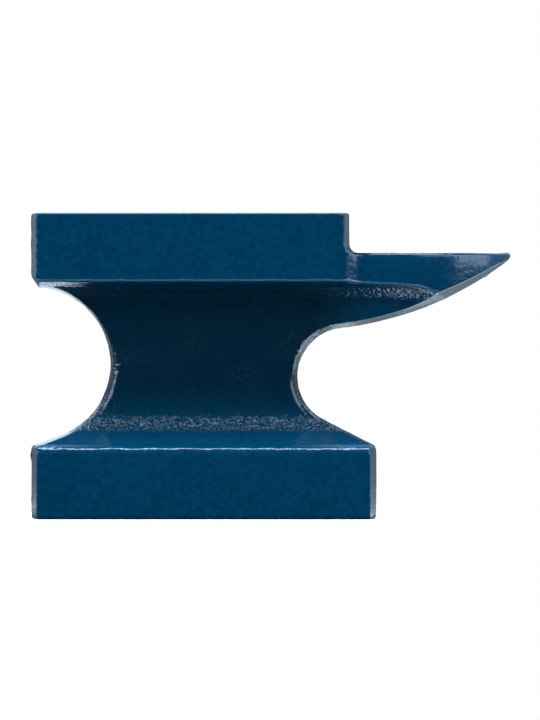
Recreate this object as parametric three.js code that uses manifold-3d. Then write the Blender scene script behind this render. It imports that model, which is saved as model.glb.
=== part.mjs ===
// A bench anvil with one flat-topped horn: an iron sand casting with a hardened steel face plate.
// The mould parts on the plane y = 0, so the ends, the waist's edges and the horn's underside
// lean in from that plane by the draft angle. Sizes are in millimetres and angles in degrees.
// +Z is up, +X points to the horn, and the origin is the centre of the base's underside.

import * as THREE from 'three';
import { mergeVertices } from 'three/addons/utils/BufferGeometryUtils.js';
import Module from 'manifold-3d';

// The whole anvil.
const HEIGHT = 134.4;

// The base: a flat block whose top slopes up to the waist on all four sides.
const BASE_LENGTH = 151.5;
const BASE_WIDTH = 76.2;
const BASE_SIDE_HEIGHT = 30.7;
const BASE_END_HEIGHT = 32;
const BASE_FOOT_RADIUS = 1.3;
const BASE_END_RADIUS = 3.5;
const BASE_RIM_RADIUS = 1.6;
const BASE_SLOPE_ANGLE = 26;

// The waist: a plain web with a hollow at each end and a cove along its foot and its head.
const WAIST_LENGTH = 82;
const WAIST_THICKNESS = 30;
const WAIST_FOOT_RADIUS = 12.7;
const WAIST_HEAD_RADIUS = 9;
const HORN_HOLLOW_RADIUS = 21.4;
const HORN_HOLLOW_HEIGHT_SHARE = 0.438;

// The table: the block under the face, with the face plate as its top.
const TABLE_LENGTH = 139.7;
const TABLE_WIDTH = 60.3;
const TABLE_DEPTH = 29.8;
const TABLE_HEEL_REACH = 75.8;
const TABLE_UNDERSIDE_ANGLE = 26;
const TABLE_END_DROP = 2.7;
const TABLE_RIM_RADIUS = 0.9;
const HEEL_LIP = 1.1;
const HEEL_CORNER_LENGTH = 2.2;
const HEEL_CORNER_HEIGHT = 3.6;
const FACE_CHAMFER = 0.9;
const FACE_PLATE_THICKNESS = 8;

// The horn: a step below the face, flat on top, with upright sides that curve in to a blunt tip.
const HORN_LENGTH = 70.9;
const HORN_STEP_DOWN = 17.6;
const HORN_STEP_IN = 3.5;
const HORN_ROOT_FILLET = 4.1;
const HORN_SIDE_FILLET = 6.6;
const HORN_SHOULDER_REACH = 24;
const HORN_UNDERSIDE_RADIUS = 151;
const HORN_TIP_WIDTH = 3;
const HORN_TIP_HEIGHT = 2.4;
const SCOOP_DIP_REACH = 27.6;
const SCOOP_DIP_ANGLE = 17;

// The mould: the draft on each side of a narrow land at the parting plane.
const DRAFT_ANGLE = 4.8;
const PARTING_LAND = 1;

// How far a cutter runs past what it cuts.
const OVERRUN = 10;

// How many straight steps a small corner, a fillet, a hollow and a long curve are drawn with.
const CORNER_STEPS = 3;
const FILLET_STEPS = 6;
const HOLLOW_STEPS = 22;
const CURVE_STEPS = 14;

// Heights and places that follow from the sizes above.
const tableBottom = HEIGHT - TABLE_DEPTH;
const tableEndBottom = tableBottom - TABLE_END_DROP;
const hornTop = HEIGHT - HORN_STEP_DOWN;
const plateBottom = HEIGHT - FACE_PLATE_THICKNESS;
const faceEnd = TABLE_LENGTH - TABLE_HEEL_REACH;
const hornTip = faceEnd + HORN_LENGTH;
const halfBase = BASE_LENGTH / 2;
const halfWaist = WAIST_LENGTH / 2;
const hornSide = TABLE_WIDTH / 2 - HORN_STEP_IN;
const windowHeight = tableEndBottom - BASE_END_HEIGHT;
const sideReach = Math.max(BASE_WIDTH, TABLE_WIDTH) / 2 + OVERRUN;
const endReach = hornTip + TABLE_HEEL_REACH + BASE_LENGTH;

const point = (x, y) => new THREE.Vector2(x, y);
const rise = (angle) => Math.tan(THREE.MathUtils.degToRad(angle));

// How far the draft has drawn the ends in at a distance from the parting plane.
const draftAt = (y) => (y - PARTING_LAND / 2) * rise(DRAFT_ANGLE);

// The point at an angle on a circle.
function onCircle(centre, radius, angle) {
  return point(centre.x + radius * Math.cos(angle), centre.y + radius * Math.sin(angle));
}

// The points of a circle's stretch from one angle to another, both ends included.
function arcPoints(centre, radius, from, to, steps) {
  return Array.from({ length: steps + 1 }, (_, i) =>
    onCircle(centre, radius, from + ((to - from) * i) / steps),
  );
}

// The points of a rounded corner, in the direction of travel.
function roundedCorner(before, corner, after, radius, steps) {
  const back = before.clone().sub(corner).normalize();
  const ahead = after.clone().sub(corner).normalize();
  const half = Math.acos(back.dot(ahead)) / 2;
  const reach = radius / Math.tan(half);
  const middle = back.clone().add(ahead).normalize();
  const centre = corner.clone().addScaledVector(middle, radius / Math.sin(half));
  const start = corner.clone().addScaledVector(back, reach).sub(centre).angle();
  const end = corner.clone().addScaledVector(ahead, reach).sub(centre).angle();
  const turn = Math.atan2(Math.sin(end - start), Math.cos(end - start));
  return arcPoints(centre, radius, start, start + turn, steps);
}

// A closed outline from corners given as [point, radius, steps]. Radius 0 keeps a corner sharp.
function roundedOutline(corners) {
  const at = (i) => corners[(i + corners.length) % corners.length][0];
  return corners.flatMap(([corner, radius, steps], i) =>
    radius === 0 ? [corner] : roundedCorner(at(i - 1), corner, at(i + 1), radius, steps),
  );
}

// The angle on a circle where a line from an outside point touches it. Turn is 1 or -1 and picks
// the touching point that lies anticlockwise or clockwise of the outside point.
function touchAngle(outside, centre, radius, turn) {
  const apart = outside.clone().sub(centre);
  return Math.atan2(apart.y, apart.x) + turn * Math.acos(radius / apart.length());
}

// The centre of an arc that passes through a point and meets a circle smoothly from outside.
function smoothArcCentre(circleCentre, circleRadius, through, radius) {
  const apart = through.clone().sub(circleCentre);
  const span = apart.length();
  const far = radius + circleRadius;
  const along = (far * far - radius * radius + span * span) / (2 * span);
  const across = Math.sqrt(far * far - along * along);
  const ahead = apart.normalize();
  const sideways = point(-ahead.y, ahead.x);
  return circleCentre.clone().addScaledVector(ahead, along).addScaledVector(sideways, across);
}

// The hollow under the heel: its arc ends level, under the table's end.
const heelRadius = Math.min(TABLE_HEEL_REACH - halfWaist - HEEL_LIP, windowHeight / 2);
const heelCentre = point(-halfWaist - heelRadius, tableEndBottom - heelRadius);
const heelTouch = touchAngle(point(-halfBase, BASE_END_HEIGHT), heelCentre, heelRadius, 1);

// The hollow under the horn, and the long arc of the horn's underside that runs on from it.
const hollowRise = windowHeight * HORN_HOLLOW_HEIGHT_SHARE;
const hollowRadius = Math.min(HORN_HOLLOW_RADIUS, hollowRise);
const hollowCentre = point(halfWaist + hollowRadius, BASE_END_HEIGHT + hollowRise);
const hollowTouch = touchAngle(point(halfBase, BASE_END_HEIGHT), hollowCentre, hollowRadius, -1);
const tipBottom = point(hornTip, hornTop - HORN_TIP_HEIGHT);
const undersideCentre = smoothArcCentre(
  hollowCentre,
  hollowRadius,
  tipBottom,
  HORN_UNDERSIDE_RADIUS,
);

// Where the straight slope that leaves a hollow's touching point crosses an upright end wall.
function slopeEnd(centre, radius, angle, wall) {
  const touch = onCircle(centre, radius, angle);
  const along = (wall - touch.x) / -Math.sin(angle);
  return point(wall, touch.y + along * Math.cos(angle));
}

// The side view, anticlockwise with the horn to the right. Inset draws in the ends, the slopes,
// the hollows and the horn's underside; the underside of the base and the tops stay flat. The
// horn runs on to a sharp point here, and the view from above cuts it off at its blunt tip.
function sideOutline(inset) {
  const baseWall = halfBase - inset;
  const heelWall = inset - TABLE_HEEL_REACH;
  const faceWall = faceEnd - inset;
  const heelArc = heelRadius + inset;
  const hollowArc = hollowRadius + inset;
  const undersideArc = HORN_UNDERSIDE_RADIUS - inset;
  const heelFoot = slopeEnd(heelCentre, heelArc, heelTouch, -baseWall);
  const hornFoot = slopeEnd(hollowCentre, hollowArc, hollowTouch, baseWall);
  const heelStart = Math.acos((heelWall + HEEL_CORNER_LENGTH - heelCentre.x) / heelArc);
  const heelPoints = arcPoints(heelCentre, heelArc, heelStart, heelTouch, HOLLOW_STEPS);
  const joinAngle = undersideCentre.clone().sub(hollowCentre).angle();
  const hollowEnd = hollowTouch + 2 * Math.PI;
  const hollowPoints = arcPoints(hollowCentre, hollowArc, hollowEnd, joinAngle, HOLLOW_STEPS);
  const tipAngle = -Math.asin((undersideCentre.y - hornTop) / undersideArc);
  const undersidePoints = arcPoints(
    undersideCentre,
    undersideArc,
    joinAngle - Math.PI,
    tipAngle,
    CURVE_STEPS,
  );
  const sharp = (corner) => [corner, 0, 0];
  return roundedOutline([
    [point(-baseWall, 0), BASE_FOOT_RADIUS, CORNER_STEPS],
    [point(baseWall, 0), BASE_FOOT_RADIUS, CORNER_STEPS],
    [hornFoot, BASE_END_RADIUS, CORNER_STEPS],
    ...hollowPoints.map(sharp),
    ...undersidePoints.slice(1).map(sharp),
    [point(faceWall, hornTop), HORN_ROOT_FILLET, FILLET_STEPS],
    sharp(point(faceWall, HEIGHT - FACE_CHAMFER)),
    sharp(point(faceWall - FACE_CHAMFER, HEIGHT)),
    sharp(point(heelWall + FACE_CHAMFER, HEIGHT)),
    sharp(point(heelWall, HEIGHT - FACE_CHAMFER)),
    sharp(point(heelWall, heelPoints[0].y + HEEL_CORNER_HEIGHT)),
    ...heelPoints.map(sharp),
    [heelFoot, BASE_END_RADIUS, CORNER_STEPS],
  ]);
}

// The end view from the foot to the top: base, cove, web, cove and table. It runs past the face.
function endOutline() {
  const wall = WAIST_THICKNESS / 2;
  const baseSide = BASE_WIDTH / 2;
  const tableSide = TABLE_WIDTH / 2;
  const foot = BASE_SIDE_HEIGHT + (baseSide - wall) * rise(BASE_SLOPE_ANGLE);
  const head = tableBottom - (tableSide - wall) * rise(TABLE_UNDERSIDE_ANGLE);
  const right = [
    [point(baseSide, 0), BASE_FOOT_RADIUS, CORNER_STEPS],
    [point(baseSide, BASE_SIDE_HEIGHT), BASE_RIM_RADIUS, CORNER_STEPS],
    [point(wall, foot), WAIST_FOOT_RADIUS, FILLET_STEPS],
    [point(wall, head), WAIST_HEAD_RADIUS, FILLET_STEPS],
    [point(tableSide, tableBottom), TABLE_RIM_RADIUS, CORNER_STEPS],
    [point(tableSide, HEIGHT + HORN_LENGTH), 0, 0],
  ];
  const mirrored = right.map(([p, radius, steps]) => [point(-p.x, p.y), radius, steps]);
  return roundedOutline([...right, ...mirrored.reverse()]);
}

// The horn from above, from well inside the table to the blunt tip, one side and its mirror. A
// hollow fillet runs from the table's drafted corner down to the horn's upright side.
function hornPlan() {
  const shoulder = faceEnd + HORN_SHOULDER_REACH;
  const run = hornTip - shoulder;
  const drop = hornSide - HORN_TIP_WIDTH / 2;
  const radius = (run * run + drop * drop) / (2 * drop);
  const tipAngle = Math.PI / 2 - Math.asin(run / radius);
  const centre = point(shoulder, hornSide - radius);
  const fillet = Math.max(HORN_SIDE_FILLET, HORN_STEP_IN);
  const filletTurn = Math.acos(1 - HORN_STEP_IN / fillet);
  const tableCorner = faceEnd - draftAt(TABLE_WIDTH / 2);
  const filletCentre = point(tableCorner + fillet * Math.sin(filletTurn), hornSide + fillet);
  const filletStart = -Math.PI / 2;
  const side = [
    ...arcPoints(centre, radius, tipAngle, Math.PI / 2, CURVE_STEPS),
    ...arcPoints(filletCentre, fillet, filletStart, filletStart - filletTurn, FILLET_STEPS),
    point(tableCorner, sideReach),
    point(-endReach, sideReach),
  ];
  return [...side, ...side.map((p) => point(p.x, -p.y)).reverse()];
}

const wasm = await Module();
wasm.setup();

// A closed geometry as a solid for joining and cutting.
function solidOf(geometry) {
  const bare = geometry.clone();
  bare.deleteAttribute('normal');
  bare.deleteAttribute('uv');
  const merged = mergeVertices(bare);
  return new wasm.Manifold(
    new wasm.Mesh({
      numProp: 3,
      vertProperties: merged.attributes.position.array,
      triVerts: new Uint32Array(merged.index.array),
    }),
  );
}

// A solid's surface as a geometry with flat faces.
function geometryOf(solid) {
  const { vertProperties, triVerts, numProp } = solid.getMesh();
  const positions = new Float32Array(triVerts.length * 3);
  triVerts.forEach((vertex, i) => {
    const start = vertex * numProp;
    positions.set(vertProperties.subarray(start, start + 3), i * 3);
  });
  const geometry = new THREE.BufferGeometry();
  geometry.setAttribute('position', new THREE.BufferAttribute(positions, 3));
  geometry.computeVertexNormals();
  return geometry;
}

// A solid ruled through outlines that stand behind each other, each given as [place, outline]. The
// nearest comes first and is seen anticlockwise. Spot turns a place and its outline's point into
// coordinates.
function ruledSolid(stations, spot) {
  const count = stations[0][1].length;
  const positions = stations.flatMap(([place, outline]) => outline.flatMap((p) => spot(place, p)));
  const faces = [];
  for (let ring = 0; ring < stations.length - 1; ring++) {
    for (let i = 0; i < count; i++) {
      const a = ring * count + i;
      const b = ring * count + ((i + 1) % count);
      faces.push(a, b + count, b, a, a + count, b + count);
    }
  }
  const last = (stations.length - 1) * count;
  for (const [a, b, c] of THREE.ShapeUtils.triangulateShape(stations[0][1], [])) {
    faces.push(a, b, c);
  }
  for (const [a, b, c] of THREE.ShapeUtils.triangulateShape(stations.at(-1)[1], [])) {
    faces.push(last + a, last + c, last + b);
  }
  const geometry = new THREE.BufferGeometry();
  geometry.setAttribute('position', new THREE.Float32BufferAttribute(positions, 3));
  geometry.setIndex(faces);
  return solidOf(geometry);
}

// An outline extruded along +Z from a height.
function uprightSolid(outline, bottom, top) {
  const options = { depth: top - bottom, bevelEnabled: false };
  const geometry = new THREE.ExtrudeGeometry(new THREE.Shape(outline), options);
  return solidOf(geometry.translate(0, 0, bottom));
}

// The side views through the anvil's width, from the -Y side to the +Y side.
function mouldedSolid() {
  const land = PARTING_LAND / 2;
  const narrow = sideOutline(draftAt(sideReach));
  const full = sideOutline(0);
  const stations = [
    [-sideReach, narrow],
    [-land, full],
    [land, full],
    [sideReach, narrow],
  ];
  return ruledSolid(stations, (y, p) => [p.x, y, p.y]);
}

// The end views along the anvil, from the horn to the heel. Past the scoop's level stretch they dip
// towards the tip.
function sectionBar() {
  const dipStart = faceEnd + SCOOP_DIP_REACH;
  const dip = (endReach - dipStart) * rise(SCOOP_DIP_ANGLE);
  const level = endOutline();
  const dipped = level.map((p) => point(p.x, p.y - dip));
  const stations = [
    [endReach, dipped],
    [dipStart, level],
    [-endReach, level],
  ];
  return ruledSolid(stations, (x, p) => [x, p.x, p.y]);
}

// A box from its lowest corner to its highest.
function boxSolid(low, high) {
  const size = high.clone().sub(low);
  const middle = low.clone().add(high).divideScalar(2);
  const geometry = new THREE.BoxGeometry(size.x, size.y, size.z);
  return solidOf(geometry.translate(middle.x, middle.y, middle.z));
}

// The casting with its plate as one shape: what the two half moulds and the pattern's section leave.
function anvilShape() {
  const hornFloor = hollowCentre.y;
  const plan = uprightSolid(hornPlan(), hornFloor, HEIGHT + OVERRUN);
  const below = boxSolid(
    new THREE.Vector3(-endReach, -sideReach, -OVERRUN),
    new THREE.Vector3(endReach, sideReach, hornFloor),
  );
  return mouldedSolid().intersect(sectionBar()).intersect(plan.add(below));
}

// The casting's enamel, and the bare ground steel of the face.
const enamel = new THREE.MeshStandardMaterial({ color: '#0b4a6e', roughness: 0.28, metalness: 0 });
const steel = new THREE.MeshStandardMaterial({ color: '#a9adb0', roughness: 0.35, metalness: 1 });

function namedMesh(name, solid, material) {
  const mesh = new THREE.Mesh(geometryOf(solid), material);
  mesh.name = name;
  return mesh;
}

// The casting and the plate meet on one flat joint.
function makeAnvil() {
  const whole = anvilShape();
  const low = new THREE.Vector3(-endReach, -sideReach, plateBottom);
  const high = new THREE.Vector3(endReach, sideReach, HEIGHT + OVERRUN);
  const plateSpace = boxSolid(low, high);
  const anvil = new THREE.Group();
  anvil.add(namedMesh('body_casting', whole.subtract(plateSpace), enamel));
  anvil.add(namedMesh('face_plate', whole.intersect(plateSpace), steel));
  return anvil;
}

export default makeAnvil();
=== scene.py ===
"""A single horn anvil: the painted iron casting and its ground steel face plate.

The casting was moulded in two halves that part on the plane y = 0, so every end wall, the waist's
edges and the horn's underside lean in from that plane by the draft. The shape code works in
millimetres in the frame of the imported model: +X to the horn, +Z up, origin under the base.
"""

from __future__ import annotations

import logging
from collections.abc import Callable
from dataclasses import dataclass, field
from enum import Enum

import bpy
import numpy as np
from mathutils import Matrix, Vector

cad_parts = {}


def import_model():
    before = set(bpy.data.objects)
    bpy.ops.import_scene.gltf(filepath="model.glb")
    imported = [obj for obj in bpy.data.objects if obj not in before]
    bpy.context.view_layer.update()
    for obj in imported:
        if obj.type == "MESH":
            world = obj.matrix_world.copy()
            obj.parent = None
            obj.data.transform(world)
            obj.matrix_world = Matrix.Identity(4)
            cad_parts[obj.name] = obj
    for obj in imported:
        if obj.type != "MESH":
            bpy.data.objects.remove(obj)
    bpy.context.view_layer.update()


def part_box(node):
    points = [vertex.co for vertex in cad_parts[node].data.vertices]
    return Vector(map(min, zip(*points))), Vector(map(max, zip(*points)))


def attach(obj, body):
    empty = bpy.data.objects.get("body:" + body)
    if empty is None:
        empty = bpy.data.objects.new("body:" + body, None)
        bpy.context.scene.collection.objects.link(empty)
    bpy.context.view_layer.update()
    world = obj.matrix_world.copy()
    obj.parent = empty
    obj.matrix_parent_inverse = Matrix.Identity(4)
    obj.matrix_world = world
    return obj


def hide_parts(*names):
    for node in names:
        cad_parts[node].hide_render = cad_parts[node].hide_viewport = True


LOG = logging.getLogger("anvil")
Array = np.ndarray
Tree = bpy.types.NodeTree
Socket = bpy.types.NodeSocket
Span = tuple[float, float]
MM = 0.001
SHARP_ANGLE = 60
WHITE = (1.0, 1.0, 1.0, 1.0)
CLOSE = 1e-3
PHOTO_WIDTH = 540
PHOTO_HEIGHT = 720


def rise(angle: float) -> float:
    """The height gained per unit of run at an angle in degrees."""
    return float(np.tan(np.radians(angle)))


def soft_max(a: Array, b: Array, reach: float) -> Array:
    """The larger of two values, with the kink rounded.

    Where the two differ by less than reach, the squared rest of reach over four reaches is added,
    which joins both slopes smoothly.

    Args:
        a: The first value.
        b: The second value.
        reach: The difference below which the kink is rounded.

    Returns:
        The rounded larger value.
    """
    rest = np.maximum(reach - np.abs(a - b), 0.0)
    return np.maximum(a, b) + rest**2 / (4 * reach)


def soft_min(a: Array, b: Array, reach: float) -> Array:
    """The smaller of two values, with the kink rounded as in soft_max."""
    return -soft_max(-a, -b, reach)


def ease(value: Array, low: float, high: float) -> Array:
    """A smooth step from 0 at low to 1 at high: three t squared less two t cubed."""
    t = np.clip((value - low) / (high - low), 0.0, 1.0)
    return t * t * (3 - 2 * t)


def bell(distance: Array, width: float) -> Array:
    """A bump that is 1 at no distance and fades with the squared distance over the width."""
    return np.exp(-((distance / width) ** 2))


def quarter_round(depth: Array, radius: Array | float) -> Array:
    """How far a rounded edge is drawn in at a depth past its top.

    It is the radius less the height of a quarter circle, and nothing beyond the radius.

    Args:
        depth: The distance from the flat that the edge ends in.
        radius: The edge's radius.

    Returns:
        The inset of the edge's side.
    """
    left = np.clip(radius - depth, 0.0, radius)
    return radius - np.sqrt(radius**2 - left**2)


@dataclass
class Mould:
    """The two half moulds: the draft on each side of a narrow land at the parting plane."""

    draft: float = 4.8
    land: float = 1.0
    arris_radius: float = 0.6

    def inset(self, y: Array) -> Array:
        """How far the draft has drawn the ends in at a distance from the parting plane."""
        return np.maximum(np.abs(y) - self.land / 2, 0.0) * rise(self.draft)


@dataclass
class Base:
    """The base: a flat block whose top slopes up to the waist on all four sides."""

    length: float = 151.5
    width: float = 76.2
    side_height: float = 30.7
    end_height: float = 32.0
    foot_radius: float = 1.3
    end_reach: float = 3.0
    reach_fall: float = 0.7
    draft_share: float = 0.78
    rim_radius: float = 3.8
    slope_angle: float = 26.0


@dataclass
class Waist:
    """The waist: a plain web with a hollow at each end and coves along its foot and its head.

    The arris between the web and its ends is broad, and fades to the blocks' own small one.
    """

    length: float = 82.0
    thickness: float = 30.0
    foot_radius: float = 12.7
    head_radius: float = 9.0
    horn_hollow_radius: float = 21.4
    horn_hollow_share: float = 0.438
    arris_radius: float = 4.0
    arris_fade: float = 9.0
    heel_slope_share: float = 0.4
    heel_under_share: float = 0.55
    horn_slope_share: float = 0.1
    slope_rise: Span = (44.0, 56.0)
    head_rise: Span = (64.0, 88.0)


@dataclass
class Table:
    """The table: the block under the face, with the face plate as its top.

    Its underside is a nearly level lip and then a steeper slope down to the web.
    """

    heel: float
    end: float
    width: float
    top: float
    plate_bottom: float
    depth: float = 30.3
    lip_width: float = 8.0
    lip_angle: float = 14.0
    underside_angle: float = 37.0
    underside_radius: float = 4.0
    draft_share: float = 0.85
    end_drop: float = 2.2
    rim_radius: float = 0.9
    heel_lip: float = 1.1
    corner_length: float = 3.4
    corner_height: float = 4.8
    corner_reach: float = 1.2
    chamfer: float = 0.9


@dataclass
class Horn:
    """The horn: a step below the face, flat on top, with sides that curve in to a blunt tip."""

    tip: float
    step_down: float = 17.6
    step_in: float = 3.5
    root_fillet: float = 4.1
    side_fillet: float = 7.0
    fillet_crease: float = 0.8
    side_lean: float = 0.5
    lean_height: float = 7.0
    shoulder_reach: float = 24.0
    underside_radius: float = 151.0
    tip_width: float = 3.0
    tip_height: float = 2.4
    under_draft_gain: float = 1.75
    sink_reach: float = 4.0
    sink_angle: float = 2.4
    dip_reach: float = 27.6
    dip_angle: float = 11.5
    edge_radius: float = 1.2
    dip_rounding: float = 4.0
    tip_rounding: float = 1.5
    plan_rounding: float = 0.6
    drawn_from: Span = (2.0, 7.0)


def rounded_profile(
    corners: list[tuple[float, float, float]], steps: int = 24
) -> tuple[Array, Array]:
    """An open profile with each inner corner replaced by an arc.

    Between the two tangent points, each a radius over the tangent of the half angle from its
    corner, the arc's direction from its centre turns evenly.

    Args:
        corners: The half width, height and radius of each corner, upwards.
        steps: How many steps each arc has.

    Returns:
        The half widths and the heights of the profile's points.
    """
    points = np.array([c[:2] for c in corners])
    pieces = [points[:1]]
    for before, corner, after, (_, _, radius) in zip(points, points[1:], points[2:], corners[1:]):
        back = (before - corner) / np.linalg.norm(before - corner)
        ahead = (after - corner) / np.linalg.norm(after - corner)
        half = np.arccos(np.clip(back @ ahead, -1, 1)) / 2
        middle = (back + ahead) / np.linalg.norm(back + ahead)
        centre = corner + middle * radius / np.sin(half)
        first = corner + back * radius / np.tan(half) - centre
        last = corner + ahead * radius / np.tan(half) - centre
        turn = np.pi - 2 * half
        t = np.linspace(0, 1, steps + 1)[:, None]
        blend = (np.sin((1 - t) * turn) * first + np.sin(t * turn) * last) / np.sin(turn)
        pieces.append(centre + blend)
    pieces.append(points[-1:])
    profile = np.concatenate(pieces)
    return profile[:, 0], profile[:, 1]


class AnvilShape:
    """The anvil's form: its two end edges in the side view and its half width everywhere."""

    def __init__(self, base: Base, waist: Waist, table: Table, horn: Horn, mould: Mould) -> None:
        """Works out the circles and heights that the side view is drawn with.

        Args:
            base: The base's sizes.
            waist: The waist's sizes.
            table: The table's sizes.
            horn: The horn's sizes.
            mould: The draft.
        """
        self.base, self.waist, self.table, self.horn, self.mould = base, waist, table, horn, mould
        self.horn_top = table.top - horn.step_down
        self.table_bottom = table.top - table.depth
        self.end_bottom = self.table_bottom - table.end_drop
        self.half_base = base.length / 2
        self.half_waist = waist.length / 2
        self.half_table = table.width / 2
        self.horn_side = self.half_table - horn.step_in
        window = self.end_bottom - base.end_height
        self.heel_radius = -table.heel - self.half_waist - table.heel_lip
        heel_x = -self.half_waist - self.heel_radius
        self.heel_centre = np.array([heel_x, self.end_bottom - self.heel_radius])
        self.heel_touch = self._touch(-self.half_base, self.heel_centre, self.heel_radius, 1)
        self.hollow_radius = waist.horn_hollow_radius
        hollow_rise = window * waist.horn_hollow_share
        hollow_x = self.half_waist + self.hollow_radius
        self.hollow_centre = np.array([hollow_x, base.end_height + hollow_rise])
        self.hollow_touch = self._touch(self.half_base, self.hollow_centre, self.hollow_radius, -1)
        self._place_underside()
        self._draw_end_view()
        drawn = table.draft_share * mould.inset(np.array(self.half_table))
        self.corner = table.end - float(drawn)

    def _touch(self, x: float, centre: Array, radius: float, turn: int) -> float:
        """The angle on a circle where the base's end slope touches it."""
        apart = np.array([x, self.base.end_height]) - centre
        lean = np.arccos(radius / np.linalg.norm(apart))
        return float(np.arctan2(apart[1], apart[0]) + turn * lean)

    def _place_underside(self) -> None:
        """Finds the circle that leaves the horn's hollow smoothly and passes the tip's foot."""
        horn = self.horn
        apart = np.array([horn.tip, self.horn_top - horn.tip_height]) - self.hollow_centre
        span = float(np.linalg.norm(apart))
        far = horn.underside_radius + self.hollow_radius
        along = (far**2 - horn.underside_radius**2 + span**2) / (2 * span)
        ahead = apart / span
        sideways = np.array([-ahead[1], ahead[0]])
        aside = sideways * np.sqrt(far**2 - along**2)
        self.under_centre = self.hollow_centre + ahead * along + aside
        joined = self.under_centre - self.hollow_centre
        self.join = float(np.arctan2(joined[1], joined[0]))

    def _draw_end_view(self) -> None:
        """Draws the end view from the foot to the top, as half widths at growing heights."""
        base, waist, table = self.base, self.waist, self.table
        wall = waist.thickness / 2
        side = base.width / 2
        foot = base.side_height + (side - wall) * rise(base.slope_angle)
        lip = self.half_table - table.lip_width
        lip_foot = self.table_bottom - table.lip_width * rise(table.lip_angle)
        head = lip_foot - (lip - wall) * rise(table.underside_angle)
        corners = [
            (side, -table.top, 0.0),
            (side, base.side_height, base.rim_radius),
            (wall, foot, waist.foot_radius),
            (wall, head, waist.head_radius),
            (lip, lip_foot, table.underside_radius),
            (self.half_table, self.table_bottom, table.rim_radius),
            (self.half_table, 2 * table.top, 0.0),
        ]
        self.end_widths, self.end_heights = rounded_profile(corners)

    def arris_radius(self, z: Array) -> Array:
        """The radius between side and ends, broad in the hollows and small on the blocks."""
        small, broad, fade = self.mould.arris_radius, self.waist.arris_radius, self.waist.arris_fade
        foot, head = self.base.end_height + 1, self.end_bottom - fade
        hollow = ease(z, foot, foot + fade) * (1 - ease(z, head - 2 * fade, head))
        return small + (broad - small) * hollow

    def dip(self, x: Array) -> Array:
        """How much lower the scoop under the horn lies than under the table.

        It sinks along a gentle slope past the horn's root and a second one further out.
        """
        horn, past = self.horn, x - self.table.end
        zero = np.zeros_like(x)
        gentle = soft_max(past - horn.sink_reach, zero, horn.dip_rounding)
        steep = soft_max(past - horn.dip_reach, zero, horn.dip_rounding)
        return rise(horn.sink_angle) * gentle + rise(horn.dip_angle) * steep

    def under_edge(self, x: Array) -> Array:
        """The height of the arris between the upright side and the scoop, along table and horn."""
        inside = self.half_table - np.minimum(self.plan(x), self.half_table)
        steeper = rise(self.table.underside_angle) - rise(self.table.lip_angle)
        drop = inside * rise(self.table.lip_angle)
        drop += np.maximum(inside - self.table.lip_width, 0.0) * steeper
        return self.table_bottom - drop - self.dip(x)

    def _hollow_inset(self, z: Array, inset: Array, slope_share: float, gain: float) -> Array:
        """A hollow's inset: a share of it on the base's slope and a gain of it under the head."""
        lower = slope_share + (1 - slope_share) * ease(z, *self.waist.slope_rise)
        return inset * lower * (1 + (gain - 1) * ease(z, *self.waist.head_rise))

    def horn_rim(self, z: Array) -> Array:
        """How far the rounded edge of the horn's flat top is drawn in, from below that top."""
        depth = self.horn_top - z
        return np.where(depth < 0, 0.0, quarter_round(depth, self.horn.edge_radius))

    def side_lean(self, z: Array) -> Array:
        """How far the horn's sides lean in below its flat top, growing with the square."""
        height = 1 - (self.horn_top - z) / self.horn.lean_height
        return self.horn.side_lean * np.clip(height, 0.0, 1.0) ** 2

    def _end_slope(self, height: Array, radius: Array, touch: float) -> tuple[Array, Array]:
        """The base's end slope, which touches a hollow's circle.

        Args:
            height: Heights over the circle's centre.
            radius: The circle's radius at each height.
            touch: The angle at which the slope touches the circle.

        Returns:
            The slope's x from the circle's centre, and whether a height is below the touch.
        """
        normal = np.cos(touch), np.sin(touch)
        return (radius - height * normal[1]) / normal[0], height < radius * normal[1]

    def heel_edge(self, z: Array, inset: Array) -> Array:
        """Where the heel's side of the anvil begins in the side view.

        From the foot up it is the base's wall, the straight slope that touches the hollow's circle,
        the circle x = centre + root of squared radius less squared height, the heel's small corner
        and the table's wall. The inset moves the walls in and adds to the circle's radius.

        Args:
            z: Heights.
            inset: How far the edge is drawn in.

        Returns:
            The edge's x at each height.
        """
        table, centre = self.table, self.heel_centre
        waist = self.waist
        shares = waist.heel_slope_share, waist.heel_under_share
        radius = self.heel_radius + self._hollow_inset(z, inset, *shares)
        height = z - centre[1]
        slope, below = self._end_slope(height, radius, self.heel_touch)
        reach = self.base.end_reach - self.base.reach_fall * inset
        wall = self.base.draft_share * inset - self.half_base
        lower = soft_max(wall, centre[0] + slope, reach)
        arc = centre[0] + np.sqrt(np.maximum(radius**2 - height**2, 0.0))
        arc = np.where(height < radius, arc, -np.inf)
        wall = table.heel + table.draft_share * inset
        above = np.maximum(height - radius, 0.0)
        bevel = table.heel + table.corner_length * (1 - above / table.corner_height)
        upper = np.maximum(arc, soft_max(bevel, wall, table.corner_reach))
        return np.where(below, lower, upper)

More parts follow.
